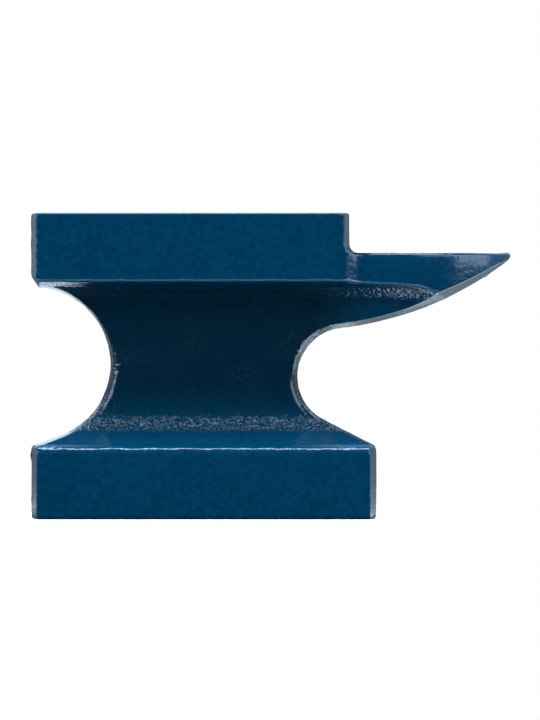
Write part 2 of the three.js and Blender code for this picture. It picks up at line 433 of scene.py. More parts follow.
    def horn_edge(self, z: Array, inset: Array, above: Array) -> Array:
        """Where the horn's side of the anvil ends in the side view.

        From the foot up it is the base's wall, the slope, the hollow's circle and the circle of the
        horn's underside, cut by the blunt tip. Above the horn it is the fillet at its root and the
        table's wall.

        Args:
            z: Heights.
            inset: How far the edge is drawn in.
            above: Whether the row belongs to the table above the horn's flat top.

        Returns:
            The edge's x at each height.
        """
        horn, centre = self.horn, self.hollow_centre
        gained = self._hollow_inset(z, inset, self.waist.horn_slope_share, horn.under_draft_gain)
        radius = self.hollow_radius + gained
        height = z - centre[1]
        slope, sloping = self._end_slope(height, radius, self.hollow_touch)
        reach = self.base.end_reach - self.base.reach_fall * inset
        wall = self.half_base - self.base.draft_share * inset
        lower = soft_min(wall, centre[0] + slope, reach)
        arc = centre[0] - np.sqrt(np.maximum(radius**2 - height**2, 0.0))
        under_radius = horn.underside_radius - gained
        fall = self.under_centre[1] - z
        under = self.under_centre[0] + np.sqrt(np.maximum(under_radius**2 - fall**2, 0.0))
        under = soft_min(under, horn.tip - inset, horn.tip_rounding) - self.horn_rim(z)
        beside = np.where(height < radius * np.sin(self.join), arc, under)
        below = np.where(sloping, lower, beside)
        root = quarter_round(z - self.horn_top, horn.root_fillet)
        return np.where(above, self.table.end - self.table.draft_share * inset + root, below)

    def plan(self, x: Array) -> Array:
        """The horn's half width from above.

        A hollow fillet leads from the table's corner to a crease on the upright side, and from the
        shoulder on an arc curves in to the tip: its half width is the side less its radius plus the
        root of the squared radius less the squared run.

        Args:
            x: Places along the anvil.

        Returns:
            The half width, which is the table's own up to its corner.
        """
        horn = self.horn
        shoulder = self.table.end + horn.shoulder_reach
        run = horn.tip - shoulder
        drop = self.horn_side - horn.tip_width / 2
        radius = (run**2 + drop**2) / (2 * drop)
        past = np.clip(x - shoulder, 0.0, run)
        side = self.horn_side - radius + np.sqrt(radius**2 - past**2)
        left = np.clip((self.corner - x) / horn.side_fillet + 1, 0.0, 1.0)
        return side + horn.step_in * left * (horn.fillet_crease + (1 - horn.fillet_crease) * left)

    def half_width(self, x: Array, z: Array) -> Array:
        """The anvil's half width before the draft.

        It is the end view's half width, read higher up past the scoop's level stretch because the
        scoop dips there, and no more than the horn's plan.

        Args:
            x: Places along the anvil.
            z: Heights.

        Returns:
            The half width at each place and height.
        """
        section = np.interp(z + self.dip(x), self.end_heights, self.end_widths)
        hollow = z < self.hollow_centre[1]
        drawn = self.horn_rim(z) + self.side_lean(z)
        plan = self.plan(x) - drawn * ease(x - self.corner, *self.horn.drawn_from)
        return np.where(hollow, section, soft_min(section, plan, self.horn.plan_rounding))


class Lattice:
    """Smooth noise: random values on a cubic lattice, blended between its points."""

    def __init__(self, seed: int) -> None:
        """Draws the lattice, which repeats after its own count of points."""
        self.count = 64
        self.values = np.random.default_rng(seed).uniform(-1, 1, (self.count,) * 3)

    def at(self, points: Array, size: Array | float) -> Array:
        """The noise at points for a lump size in millimetres.

        Each of the eight lattice points round a point is weighted by the product of its eased
        distances along the three axes.

        Args:
            points: Places, one a row.
            size: The lattice's spacing, one for all axes or one for each.

        Returns:
            Values from -1 to 1.
        """
        scaled = points / size
        low = np.floor(scaled)
        part = scaled - low
        part = part * part * (3 - 2 * part)
        low = low.astype(int)
        total = np.zeros(len(points))
        for step in np.ndindex(2, 2, 2):
            weight = np.prod(np.where(np.array(step), part, 1 - part), axis=1)
            index = (low + np.array(step)) % self.count
            total += weight * self.values[index[:, 0], index[:, 1], index[:, 2]]
        return total


@dataclass
class Columns:
    """How many columns of a row lie on the heel's end, the side, the horn's side and its edge.

    The closeness is how much the columns crowd at the ends of each stretch, where the arrises are.
    """

    heel: int = 32
    side: int = 96
    horn: int = 50
    edge: int = 22
    closeness: float = 0.55
    passes: int = 2
    dense: tuple[int, int, int] = (260, 700, 260)
    halvings: int = 48
    knee_rise: Span = (60.0, 101.0)

    def crowded(self, count: int) -> Array:
        """Shares of a stretch: t less the closeness times the sine of a full turn over two pi."""
        t = np.linspace(0, 1, count + 1)[1:]
        return t - self.closeness * np.sin(2 * np.pi * t) / (2 * np.pi)


class LevelSections:
    """The anvil's outline at any height, as one half from the heel's parting line to the horn's."""

    def __init__(self, shape: AnvilShape, columns: Columns) -> None:
        """Keeps the shape and the columns.

        Args:
            shape: The anvil's form.
            columns: How the outline is divided.
        """
        self.shape = shape
        self.columns = columns
        self.even_share = columns.side / (columns.side + columns.horn)

    def _ends(self, z: Array, foot: Array, above: Array) -> tuple[Array, Array, Array]:
        """The half width where each end meets its arris, and the horn end's place along x there.

        The horn's arris is where the half width at the edge's place equals the distance from the
        parting plane that gives this place, found by halving the range again and again.
        """
        shape = self.shape
        drawn = foot + shape.arris_radius(z)
        at_heel = np.interp(z, shape.end_heights, shape.end_widths) - drawn
        low, high = np.zeros_like(z), np.full_like(z, shape.base.width)
        for _ in range(self.columns.halvings):
            middle = (low + high) / 2
            x = shape.horn_edge(z, shape.mould.inset(middle) + foot, above)
            wider = shape.half_width(x, z) - drawn > middle
            low, high = np.where(wider, middle, low), np.where(wider, high, middle)
        x = shape.horn_edge(z, shape.mould.inset(low) + foot, above)
        return at_heel, low, x

    def outlines(self, z: Array, foot: Array, above: Array) -> Array:
        """The half outlines at several heights, walked evenly within each of four stretches.

        The heel's end runs over its distances from the parting plane, the side over its places
        along x with a quarter round at each end, and the horn's end back to the parting plane. The
        walked length then places the columns.

        Args:
            z: Heights.
            foot: How far each outline is drawn in for a rounded edge.
            above: Whether each row belongs to the table above the horn.

        Returns:
            Points x and y, shaped (rows, columns, 2).
        """
        shape, columns = self.shape, self.columns
        at_heel, at_horn, horn_x = self._ends(z, foot, above)
        z, foot, above = z[:, None], foot[:, None], above[:, None]
        counts = columns.dense
        heel_y = at_heel[:, None] * np.linspace(0, 1, counts[0])
        heel_x = shape.heel_edge(z, shape.mould.inset(heel_y) + foot)
        start = heel_x[:, -1:]
        side_x = start + (horn_x[:, None] - start) * np.linspace(0, 1, counts[1])
        radius = shape.arris_radius(z)
        side_y = shape.half_width(side_x, z) - foot
        side_y -= quarter_round(side_x - start, radius)
        side_y -= quarter_round(horn_x[:, None] - side_x, radius)
        end_y = at_horn[:, None] * np.linspace(1, 0, counts[2])
        end_x = shape.horn_edge(z, shape.mould.inset(end_y) + foot, above)
        parts = (heel_x, side_x, end_x), (heel_y, side_y, end_y)
        walk = np.stack([np.concatenate(part, 1) for part in parts], 2)
        steps = np.hypot(*np.moveaxis(np.diff(walk, axis=1), 2, 0))
        length = np.concatenate([np.zeros((len(walk), 1)), np.cumsum(steps, 1)], 1)
        knots = self._knots(z[:, 0], above[:, 0], length, side_x)
        targets = [knots[:, :1]]
        stretches = (columns.heel, columns.side, columns.horn, columns.edge)
        for i, count in enumerate(stretches):
            share = columns.crowded(count)
            targets.append(knots[:, i : i + 1] + (knots[:, i + 1] - knots[:, i])[:, None] * share)
        placed = self._at_lengths(walk, length, np.concatenate(targets, 1))
        return self._softened(placed)

    def _knots(self, z: Array, above: Array, length: Array, side_x: Array) -> Array:
        """The walked length at the start, the heel's arris, the knee, the horn's arris and the end.

        The knee keeps the columns even on the base. It moves to the table's corner further up.
        Above the horn, where the table ends, the horn's arris is a share of the rest.
        """
        columns, shape = self.columns, self.shape
        first = columns.dense[0]
        last = first + columns.dense[1] - 1
        start, finish = side_x[:, 0], side_x[:, -1]
        even = start + self.even_share * (finish - start)
        blend = ease(z, *columns.knee_rise)
        knee_x = (1 - blend) * even + blend * shape.corner
        place = (knee_x - start) / (finish - start) * (columns.dense[1] - 1) + first
        below = np.clip(np.floor(place).astype(int), first, last - 1)
        rows = np.arange(len(z))
        part = place - below
        knee = length[rows, below] * (1 - part) + length[rows, below + 1] * part
        end = length[:, -1]
        share = columns.horn / (columns.horn + columns.edge)
        arris = np.where(above, knee + (end - knee) * share, length[:, last])
        return np.stack([np.zeros_like(z), length[:, first], knee, arris, end], 1)

    def _at_lengths(self, walk: Array, length: Array, targets: Array) -> Array:
        """The points at given lengths of every walk, interpolated over all rows end to end."""
        gap = length.max() + 1.0
        offset = gap * np.arange(len(walk))[:, None]
        known = (length + offset).ravel()
        wanted = (targets + offset).ravel()
        found = [np.interp(wanted, known, walk[:, :, k].ravel()) for k in range(2)]
        return np.stack(found, 1).reshape(*targets.shape, 2)

    def _softened(self, outlines: Array) -> Array:
        """The outlines after passes of a three-point mean with weights a quarter, half, quarter."""
        for _ in range(self.columns.passes):
            inner = (outlines[:, :-2] + 2 * outlines[:, 1:-1] + outlines[:, 2:]) / 4
            outlines = np.concatenate([outlines[:, :1], inner, outlines[:, -1:]], 1)
        return outlines


def closed_skin(outlines: Array, heights: Array) -> tuple[Array, Array]:
    """A closed skin from half outlines whose first and last rows lie on the parting plane.

    Each row goes once round the anvil: the half outline, then its mirror image back. The first and
    the last row hold only the half, which both sides share.

    Args:
        outlines: Points x and y, shaped (rows, columns, 2).
        heights: The points' heights, shaped (rows, columns).

    Returns:
        The vertices, and the faces as rows of four vertex numbers.
    """
    rows, count = outlines.shape[:2]
    mirrored = outlines[:, -2:0:-1] * np.array([1, -1])
    ring = np.concatenate([outlines, mirrored], 1)
    width = ring.shape[1]
    around = np.concatenate([heights, heights[:, -2:0:-1]], 1)
    points = np.concatenate([ring, around[..., None]], 2)
    vertices = np.concatenate([points[0, :count], points[1:-1].reshape(-1, 3), points[-1, :count]])
    folded = np.concatenate([np.arange(count), np.arange(count - 2, 0, -1)])
    inner = count + np.arange((rows - 2) * width).reshape(rows - 2, width)
    numbers = np.concatenate([folded[None], inner, folded[None] + count + inner.size])
    beside = np.roll(numbers, -1, axis=1)
    faces = np.stack([numbers[:-1], numbers[1:], beside[1:], beside[:-1]], 2).reshape(-1, 4)
    return vertices, faces


def signed_volume(vertices: Array, faces: Array) -> float:
    """The volume inside the faces, positive when they face out: a sixth of the summed products."""
    a, b, c, d = (vertices[faces[:, k]] for k in range(4))
    products = np.einsum("ij,ij->i", a, np.cross(b, c)) + np.einsum("ij,ij->i", a, np.cross(c, d))
    return float(products.sum() / 6)


def mesh_object(name: str, vertices: Array, faces: Array) -> bpy.types.Object:
    """A mesh object at the origin from vertices in millimetres, smooth and facing out.

    Args:
        name: The piece's name.
        vertices: Places in millimetres, one a row.
        faces: Four vertex numbers a row.

    Returns:
        The linked object.
    """
    if signed_volume(vertices, faces) < 0:
        faces = faces[:, ::-1]
    mesh = bpy.data.meshes.new(name)
    mesh.vertices.add(len(vertices))
    mesh.vertices.foreach_set("co", (vertices * MM).astype(np.float32).ravel())
    mesh.loops.add(faces.size)
    mesh.loops.foreach_set("vertex_index", faces.astype(np.int32).ravel())
    mesh.polygons.add(len(faces))
    mesh.polygons.foreach_set("loop_start", np.arange(0, faces.size, 4, dtype=np.int32))
    mesh.polygons.foreach_set("use_smooth", np.ones(len(faces), dtype=bool))
    mesh.update(calc_edges=True)
    mesh.validate()
    mesh.set_sharp_from_angle(angle=np.radians(SHARP_ANGLE))
    piece = bpy.data.objects.new(name, mesh)
    bpy.context.scene.collection.objects.link(piece)
    return piece


def vertex_normals(mesh: bpy.types.Mesh) -> Array:
    """The mesh's vertex normals, one a row."""
    normals = np.zeros(len(mesh.vertices) * 3, np.float32)
    mesh.vertex_normals.foreach_get("vector", normals)
    return normals.reshape(-1, 3).astype(float)


def set_point_value(mesh: bpy.types.Mesh, name: str, values: Array) -> None:
    """Stores one number a vertex in a named attribute."""
    attribute = mesh.attributes.new(name, "FLOAT", "POINT")
    attribute.data.foreach_set("value", values.astype(np.float32))


@dataclass
class Levels:
    """The level rows that a skin is drawn on, each with its heights and outline."""

    outlines: list[Array] = field(default_factory=list)
    heights: list[Array] = field(default_factory=list)

    def add(self, outlines: Array, heights: Array) -> None:
        """Adds rows of outlines, with one height a row or one a point."""
        self.outlines.append(outlines)
        self.heights.append(np.broadcast_to(heights, outlines.shape[:2]).copy())

    def add_cap(self, outline: Array, height: float, count: int, closing: bool) -> None:
        """Adds a flat cap, whose rows are one outline drawn in evenly to the parting plane.

        Args:
            outline: The half outline round the cap.
            height: The cap's height.
            count: How many rows it has.
            closing: Whether the rows run from the outline in, or from the parting plane out.
        """
        shares = np.linspace(1, 0, count + 1)[1:]
        shares = shares if closing else shares[::-1]
        rows = outline[None] * np.stack([np.ones(count), shares], 1)[:, None]
        self.add(rows, np.full((count, 1), height))

    def skin(self) -> tuple[Array, Array]:
        """The closed skin over all rows."""
        return closed_skin(np.concatenate(self.outlines), np.concatenate(self.heights))


@dataclass(frozen=True)
class Blemish:
    """A nub or swelling of the casting, by its place, radius and height in millimetres."""

    place: tuple[float, float, float]
    radius: float
    height: float


@dataclass(frozen=True)
class PrintZones:
    """Where the casting kept the sand's coarse print, and how much of it in each zone.

    A span is where a smooth step starts and where it is full, over a length in millimetres or
    over one part of the normal.
    """

    patch: float = 7.0
    least: float = 0.03
    under_edge: Span = (-0.8, 0.2)
    foot_start: Span = (37.5, 40.0)
    foot_end: Span = (42.5, 46.5)
    web_share: float = 0.28
    web_middle: float = 0.45
    web_start: Span = (42.0, 46.0)
    head_share: float = 0.16
    head_gain: float = 0.14
    head_gain_from: Span = (30.0, 60.0)
    head_start: Span = (92.0, 98.0)
    rim_share: float = 0.1
    base_rim_reach: float = 1.5
    horn_rim_reach: float = 1.2
    end_facing: Span = (0.3, 0.6)
    side_facing: Span = (0.3, 0.5)
    waist_end_share: float = 0.5
    waist_end_start: Span = (38.0, 44.0)
    block_end_share: float = 0.13
    root_share: float = 0.06
    root_past: float = 3.5
    root_reach: float = 3.0

    def coarseness(
        self, shape: AnvilShape, points: Array, normals: Array, lattice: Lattice
    ) -> Array:
        """How coarse the skin is, from the brushed flats to the coves that kept the sand's print.

        It is the largest of a few zones, each a product of smooth steps over the height: the cove
        along the waist's foot, the patchy web, the cove and band under the table, the waist's ends,
        the blocks' ends, the rims of base and horn and the fillet at the horn's root.
        """
        x, z = points[:, 0], points[:, 2]
        under = 1 - ease(z - shape.under_edge(x), *self.under_edge)
        patches = lattice.at(points + 19.0, self.patch)
        patchy = np.clip(self.web_middle + patches, 0.0, 1.0)
        foot = ease(z, *self.foot_start) * (1 - ease(z, *self.foot_end))
        web = self.web_share * patchy * ease(z, *self.web_start) * under
        head = self.head_share + self.head_gain * ease(x, *self.head_gain_from)
        head *= ease(z, *self.head_start) * under
        base_rim = bell(z - shape.base.side_height, self.base_rim_reach)
        rims = self.rim_share * np.maximum(base_rim, bell(z - shape.horn_top, self.horn_rim_reach))
        ends = ease(np.abs(normals[:, 0]), *self.end_facing)
        ends *= 1 - ease(np.abs(normals[:, 1]), *self.side_facing)
        waist_ends = self.waist_end_share * ends * ease(z, *self.waist_end_start) * under
        block_ends = self.block_end_share * ends
        root = self.root_share * self.beside_root(shape, points) * (1 - under)
        zones = (foot, web, head, waist_ends, block_ends, rims, root)
        return np.clip(np.max(zones, axis=0), self.least, 1.0)

    def beside_root(self, shape: AnvilShape, points: Array) -> Array:
        """How close a point below the horn's top lies to the fillet at its root."""
        near = bell(points[:, 0] - shape.corner - self.root_past, self.root_reach)
        return near * (points[:, 2] < shape.horn_top)


@dataclass(frozen=True)
class RecessShade:
    """Painted shade on the waist under the table, which is coloured darker where little light comes
    in.
    """

    depth: float = 15.0
    start: Span = (33.0, 62.0)
    end: Span = (103.0, 105.5)
    low: float = 0.8
    rise: Span = (97.0, 101.0)
    fade: float = 0.85
    fade_from: Span = (48.0, 75.0)

    def at(self, shape: AnvilShape, points: Array) -> Array:
        """How much painted shade points in the recess get, less towards the horn, from 0 to 1."""
        x, y, z = points.T
        inside = ease(z, *self.start) * (1 - ease(z, *self.end))
        inside *= ease(shape.half_table - np.abs(y), 0.0, self.depth)
        inside *= self.low + (1 - self.low) * ease(z, *self.rise)
        return inside * (1 - self.fade * ease(x, *self.fade_from))


@dataclass
class SandSkin:
    """The sand mould's print on the casting: lumps, waves, rolled edges, nubs and the flash.

    Lengths are millimetres. Each noise reads its own part of one lattice, a shift away.
    """

    seed: int = 11
    grain: float = 2.4
    grain_depth: float = 0.16
    clump: float = 5.2
    clump_depth: float = 0.14
    wave: float = 19.0
    wave_depth: float = 0.1
    arris_step: float = 3.6
    arris_depth: float = 0.15
    streak: tuple[float, float, float] = (1.6, 9.0, 26.0)
    streak_depth: float = 0.06
    bead_above: float = 0.75
    bead_width: float = 0.32
    bead_height: float = 0.25
    bead_stray: float = 0.2
    bead_facing: Span = (0.4, 0.8)
    ridge_above: float = 1.45
    ridge_width: float = 0.4
    ridge_height: float = 0.3
    ridge_from: Span = (36.0, 64.0)
    flash_width: float = 0.7
    flash_height: float = 0.22
    flash_lump: float = 4.0
    flash_facing: Span = (0.2, 0.7)
    fray: float = 0.4
    base_fray_reach: float = 1.3
    table_fray_reach: float = 1.1
    top_reach: float = 1.2
    joint_reach: float = 1.0
    chip_reach: float = 2.6
    zones: PrintZones = PrintZones()
    # painted shade: the waist under the table is coloured darker
    recess_shade: RecessShade = RecessShade()
    blemishes: tuple[Blemish, ...] = (
        Blemish((-75.9, 0.0, 27.6), 1.7, 0.5),
        Blemish((-76.0, 0.0, 8.5), 1.2, 0.3),
        Blemish((124.3, 0.0, 106.4), 0.9, 0.6),
        Blemish((133.6, 0.0, 116.8), 1.0, 0.4),
    )

    def bead(self, shape: AnvilShape, points: Array, normals: Array) -> Array:
        """Where the paint rolled into a bead, just above the lower edge of table and horn."""
        along = Lattice(self.seed).at(points + 83.0, self.arris_step)
        above = points[:, 2] - shape.under_edge(points[:, 0]) - self.bead_above
        line = bell(above - self.bead_stray * along, self.bead_width)
        return line * ease(np.abs(normals[:, 1]), *self.bead_facing)

    def ridge(self, shape: AnvilShape, points: Array) -> Array:
        """Where a ridge of paint follows the base's rim just above it, faint in the middle."""
        above = points[:, 2] - shape.base.side_height - self.ridge_above
        return bell(above, self.ridge_width) * ease(np.abs(points[:, 0]), *self.ridge_from)

    def raised(self, shape: AnvilShape, points: Array, normals: Array, coarse: Array) -> Array:
        """How far the skin stands out from the plain form.

        It is the sum of noise at the grain, clump and wave sizes, of ragged arrises along the rim
        of the base and the lower edge of the table, of the rolled bead above that edge and the
        ridge above both ends of the rim, of the dressed fillet's streaks, of the ridge on the
        parting plane, and of the blemishes.
        """
        lattice = Lattice(self.seed)
        z = points[:, 2]
        above_edge = z - shape.under_edge(points[:, 0])
        above_base = z - shape.base.side_height
        grain = lattice.at(points, self.grain) * self.grain_depth * coarse
        clump = lattice.at(points + 31.0, self.clump) * self.clump_depth * (0.25 + 0.75 * coarse)
        wave = lattice.at(points + 57.0, self.wave) * self.wave_depth
        along = lattice.at(points + 83.0, self.arris_step)
        fine = self.fray * lattice.at(points + 5.0, self.arris_step / 3)
        arris = bell(above_base, self.base_fray_reach)
        arris = np.maximum(arris, bell(above_edge, self.table_fray_reach))
        ragged = (along + fine) * self.arris_depth * arris
        bead = self.bead_height * (1 + fine) * self.bead(shape, points, normals)
        ridge = self.ridge_height * (1 + fine) * self.ridge(shape, points)
        streaks = self.streak_depth * lattice.at(points + 43.0, np.array(self.streak))
        streaks *= self.zones.beside_root(shape, points) * (above_edge > 0)
        flash = self.flash_height * bell(points[:, 1], self.flash_width)
        flash *= 0.55 + 0.45 * lattice.at(points + 11.0, self.flash_lump)
        flash *= ease(np.abs(normals[:, 0]), *self.flash_facing)
        total = grain + clump + wave + ragged + bead + ridge + streaks + flash
        for blemish in self.blemishes:
            away = np.linalg.norm(points - np.array(blemish.place), axis=1)
            total += blemish.height * bell(away, blemish.radius)
        return total * (1 - bell(z - shape.table.top, self.top_reach))

    def apply(self, piece: bpy.types.Object, shape: AnvilShape, joint: float) -> None:
        """Raises the piece's skin and stores its coarseness, the recess's painted shade, the bead's
        and ridge's painted highlight, and its chips.

        Near the joint of the casting and the plate the skin moves level, the same on both pieces.
        Flat caps stay plain.

        Args:
            piece: The piece, with its mesh at rest.
            shape: The anvil's form.
            joint: The height of the joint.
        """
        mesh = piece.data
        points = np.zeros(len(mesh.vertices) * 3, np.float32)
        mesh.vertices.foreach_get("co", points)
        points = points.reshape(-1, 3).astype(float) / MM
        normals = vertex_normals(mesh)
        level = bell(points[:, 2] - joint, self.joint_reach)[:, None]
        normals[:, 2:] *= 1 - level
        normals /= np.maximum(np.linalg.norm(normals, axis=1, keepdims=True), 1e-6)
        coarse = self.zones.coarseness(shape, points, normals, Lattice(self.seed))
        raised = self.raised(shape, points, normals, coarse)
        # painted highlight: the bead and the ridge are coloured paler, as if catching the light
        edge_highlight = np.maximum(self.bead(shape, points, normals), self.ridge(shape, points))
        upright = np.hypot(normals[:, 0], normals[:, 1])
        cap = (points[:, 2] > shape.table.top - CLOSE) | (points[:, 2] < CLOSE)
        cap |= (np.abs(points[:, 2] - joint) < CLOSE) & (upright < 0.5)
        raised[cap] = 0.0
        points += normals * raised[:, None]
        points[:, 2] = np.clip(points[:, 2], 0.0, shape.table.top)
        mesh.vertices.foreach_set("co", (points * MM).astype(np.float32).ravel())
        mesh.update()
        corner = np.array([shape.corner, -shape.half_table, shape.table.top])
        chipped = bell(np.linalg.norm(points - corner, axis=1), self.chip_reach)
        # painted shade of the recess under the table, for the enamel's darker colour there
        recess_shade = self.recess_shade.at(shape, points)
        values = {"coarse": coarse, "recess_shade": recess_shade, "edge_highlight": edge_highlight, "chipped": chipped}
        for name, value in values.items():
            set_point_value(mesh, name, value)


class Finish(Enum):
    """The anvil's two finishes, by the record's material slot."""

    ENAMEL = "enamel"
    GROUND_STEEL = "ground_steel"


def to_linear(colour: str) -> tuple[float, float, float, float]:
    """An sRGB hex value as linear red, green, blue and full alpha."""
    parts = np.array([int(colour[i : i + 2], 16) for i in (1, 3, 5)]) / 255
    linear = np.where(parts <= 0.04045, parts / 12.92, ((parts + 0.055) / 1.055) ** 2.4)
    return (*linear.tolist(), 1.0)


def add_node(
    tree: Tree, kind: str, settings: dict | None = None, **inputs: object
) -> bpy.types.Node:
    """Adds a node, with its settings, values and links.

    Args:
        tree: The node tree.
        kind: The node's type.
        settings: The node's own properties.
        inputs: A value or an output for each input, by its name with spaces as underscores, or by
            its number after an underscore.

    Returns:
        The node.
    """
    node = tree.nodes.new(kind)
    for name, value in (settings or {}).items():
        setattr(node, name, value)
    for name, value in inputs.items():
        key = int(name[1:]) if name[1:].isdigit() else name.replace("_", " ")
        socket = node.inputs[key]
        if isinstance(value, Socket):
            tree.links.new(value, socket)
        else:
            socket.default_value = value
    return node


def new_material(name: str) -> tuple[bpy.types.Material, Tree, Socket]:
    """A material with no nodes but its place's, its tree, and Object coordinates."""
    material = bpy.data.materials.new(name)
    material.use_nodes = True
    tree = material.node_tree
    tree.nodes.clear()
    return material, tree, add_node(tree, "ShaderNodeTexCoord").outputs["Object"]


def combined(tree: Tree, operation: str, *values: object) -> Socket:
    """One number from two or three by a math node's operation."""
    inputs = {f"_{i}": value for i, value in enumerate(values)}
    return add_node(tree, "ShaderNodeMath", {"operation": operation}, **inputs).outputs[0]


def mixed_colour(tree: Tree, share: Socket, first: object, second: object) -> Socket:
    """A colour from the first at a share of 0 to the second at 1."""
    colours = {"_0": share, "_6": first, "_7": second}
    return add_node(tree, "ShaderNodeMix", {"data_type": "RGBA"}, **colours).outputs[2]


def mixed_value(tree: Tree, share: object, first: object, second: object) -> Socket:
    """A number from the first at a share of 0 to the second at 1."""
    values = {"_0": share, "_2": first, "_3": second}
    return add_node(tree, "ShaderNodeMix", {"data_type": "FLOAT"}, **values).outputs[0]


def mixed_shader(tree: Tree, share: Socket, first: Socket, second: Socket) -> Socket:
    """A surface from the first at a share of 0 to the second at 1."""
    return add_node(tree, "ShaderNodeMixShader", _0=share, _1=first, _2=second).outputs[0]


def rescaled(tree: Tree, value: Socket, ends: Span, targets: Span = (0.0, 1.0)) -> Socket:
    """A value moved from between two ends to between two targets, and held there."""
    limits = {"From_Min": ends[0], "From_Max": ends[1], "To_Min": targets[0], "To_Max": targets[1]}
    return add_node(tree, "ShaderNodeMapRange", Value=value, **limits).outputs["Result"]


def smooth_step(tree: Tree, value: Socket, ends: Span, top: float = 1.0) -> Socket:
    """A smooth step from 0 at the first end to the top at the second, which may be the lower."""
    limits = {"From_Min": ends[0], "From_Max": ends[1], "To_Max": top}
    smooth = {"interpolation_type": "SMOOTHSTEP"}
    return add_node(tree, "ShaderNodeMapRange", smooth, Value=value, **limits).outputs["Result"]


def noise(tree: Tree, place: Socket, size: float, detail: float) -> Socket:
    """Noise with spots of a size in millimetres."""
    scale = 1 / (size * MM)
    return add_node(
        tree, "ShaderNodeTexNoise", Vector=place, Scale=scale, Detail=detail
    ).outputs["Fac"]


def point_value(tree: Tree, name: str) -> Socket:
    """The number that the mesh holds at a point under a name."""
    return add_node(tree, "ShaderNodeAttribute", {"attribute_name": name}).outputs["Fac"]


def seen_directly(tree: Tree) -> Socket:
    """One for what the camera sees, straight or through a clear surface, and zero otherwise."""
    path = add_node(tree, "ShaderNodeLightPath").outputs
    return combined(tree, "MAXIMUM", path["Is Camera Ray"], path["Is Transmission Ray"])


@dataclass(frozen=True)
class Enamel:
    """Alkyd enamel brushed over a sand casting.

    It is a smooth, glossy, deep petrol blue with the faint peel of a brushed coat. Where the sand's
    print is coarse it breaks its reflections into speckles and a few grains have rusted through.
    The recess under the table is coloured darker as painted shade, and the rolled bead and the
    ridge over the base's rim are coloured paler as a painted highlight. The pebble and grit are
    drawn about twice as coarse as the sand, so that they show in a render.
    """

    colour: str = "#003e5c"
    light_colour: str = "#004b6b"
    # painted shade: the recess under the table is coloured this darker blue
    recess_shade_colour: str = "#00222f"
    # painted highlight: the bead and the ridge are coloured this paler blue
    bead_highlight_colour: str = "#4a7089"
    grain_colour: str = "#7d8a94"
    rust_colour: str = "#4f453e"
    roughness: float = 0.15
    rust_roughness: float = 0.6
    ior: float = 1.58
    peel: float = 2.2
    peel_depth: float = 0.07
    pebble: float = 1.4
    pebble_depth: float = 1.25
    grit: float = 0.55
    grit_depth: float = 0.1
    mottle: float = 2.2
    mottle_share: float = 0.75
    mottle_ends: Span = (0.35, 0.65)
    drift: float = 24.0
    grain: float = 0.9
    grain_ends: Span = (0.5, 0.62)
    grain_share: float = 0.6
    rust: float = 1.7
    rust_ends: Span = (0.77, 0.82)
    rust_coarse_ends: Span = (0.12, 0.6)
    chip_ends: Span = (0.4, 0.5)

    def _tone(self, tree: Tree, place: Socket) -> Socket:
        """The coat's own blue: the mean of a slow drift and a fine mottle mixes two tones."""
        drift = noise(tree, place, self.drift, 3.0)
        mottle = noise(tree, place, self.mottle, 2.0)
        mean = mixed_value(tree, self.mottle_share, drift, mottle)
        share = rescaled(tree, mean, self.mottle_ends)
        return mixed_colour(tree, share, to_linear(self.colour), to_linear(self.light_colour))

    def _bared(self, tree: Tree, place: Socket, coarse: Socket) -> Socket:
        """How thin the coat lies on single grains, with the square of the skin's coarseness."""
        spots = noise(tree, place, self.grain, 1.0)
        grains = smooth_step(tree, spots, self.grain_ends, self.grain_share)
        squared = combined(tree, "MULTIPLY", coarse, coarse)
        return combined(tree, "MULTIPLY", grains, squared)

    def _rusted(self, tree: Tree, place: Socket, coarse: Socket) -> Socket:
        """Where rust shows: a noise's peaks on coarse skin, and more on the chipped corner."""
        spots = noise(tree, place, self.rust, 2.0)
        few = rescaled(tree, spots, self.rust_ends)
        rough = rescaled(tree, coarse, self.rust_coarse_ends)
        many = rescaled(tree, spots, self.chip_ends)
        on_coarse = combined(tree, "MULTIPLY", few, rough)
        on_chip = combined(tree, "MULTIPLY", many, point_value(tree, "chipped"))
        return combined(tree, "MAXIMUM", on_coarse, on_chip)

    def _bumps(self, tree: Tree, place: Socket, coarse: Socket) -> Socket:
        """The normal with the peel all over, and the pebble and grit as the skin is coarse."""
        layers = (
            (self.peel, self.peel_depth, 1.0),
            (self.pebble, self.pebble_depth, coarse),
            (self.grit, self.grit_depth, coarse),
        )
        below = {}
        for size, depth, strength in layers:
            height = noise(tree, place, size, 0.0)
            inputs = {"Height": height, "Strength": strength, "Distance": depth * MM, **below}
            below = {"Normal": add_node(tree, "ShaderNodeBump", **inputs).outputs["Normal"]}
        return below["Normal"]

    def material(self) -> bpy.types.Material:
        """Builds the enamel's nodes."""
        material, tree, place = new_material("glossy_blue_enamel")
        coarse = point_value(tree, "coarse")
        rusted = self._rusted(tree, place, coarse)
        coat = self._tone(tree, place)
        # The recess gets painted shade, and the bead and ridge a painted highlight; the bared
        # grains and rust are the coat's own wear.
        coats = (
            (point_value(tree, "recess_shade"), self.recess_shade_colour),
            (point_value(tree, "edge_highlight"), self.bead_highlight_colour),
            (self._bared(tree, place, coarse), self.grain_colour),
            (rusted, self.rust_colour),
        )
        for share, colour in coats:
            coat = mixed_colour(tree, share, coat, to_linear(colour))
        rough = rescaled(tree, rusted, (0.0, 1.0), (self.roughness, self.rust_roughness))
        shader = add_node(
            tree,
            "ShaderNodeBsdfPrincipled",
            Base_Color=coat,
            Roughness=rough,
            IOR=self.ior,
            Normal=self._bumps(tree, place, coarse),
        )
        add_node(tree, "ShaderNodeOutputMaterial", Surface=shader.outputs["BSDF"])
        return material


